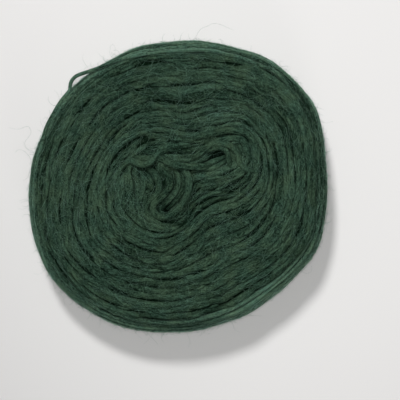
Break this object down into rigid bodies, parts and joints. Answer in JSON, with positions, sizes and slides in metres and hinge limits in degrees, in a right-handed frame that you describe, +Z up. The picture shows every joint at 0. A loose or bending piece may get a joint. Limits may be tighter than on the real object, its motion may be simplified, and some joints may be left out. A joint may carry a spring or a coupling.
{
  "type": "wheel of unspun yarn, a flat wound disc of soft roving",
  "caption": "Flat round wheel of unspun wool roving, wound turn inside turn around a closed bent crease, with a short loose loop at its rim.",
  "frame": {"origin": "middle of the wheel's footprint, on the surface it rests on", "axes": "+Z up, through the wheel's thickness; +X to the right and +Y away as seen from above"},
  "size_m": [0.203, 0.199, 0.0422],
  "materials": {
    "roving": "soft, matt, slightly fuzzy unspun wool in dark forest green"
  },
  "bodies": {
    "root": {"wound_wheel": "roving", "loose_turn": "roving"}
  },
  "joints": []
}
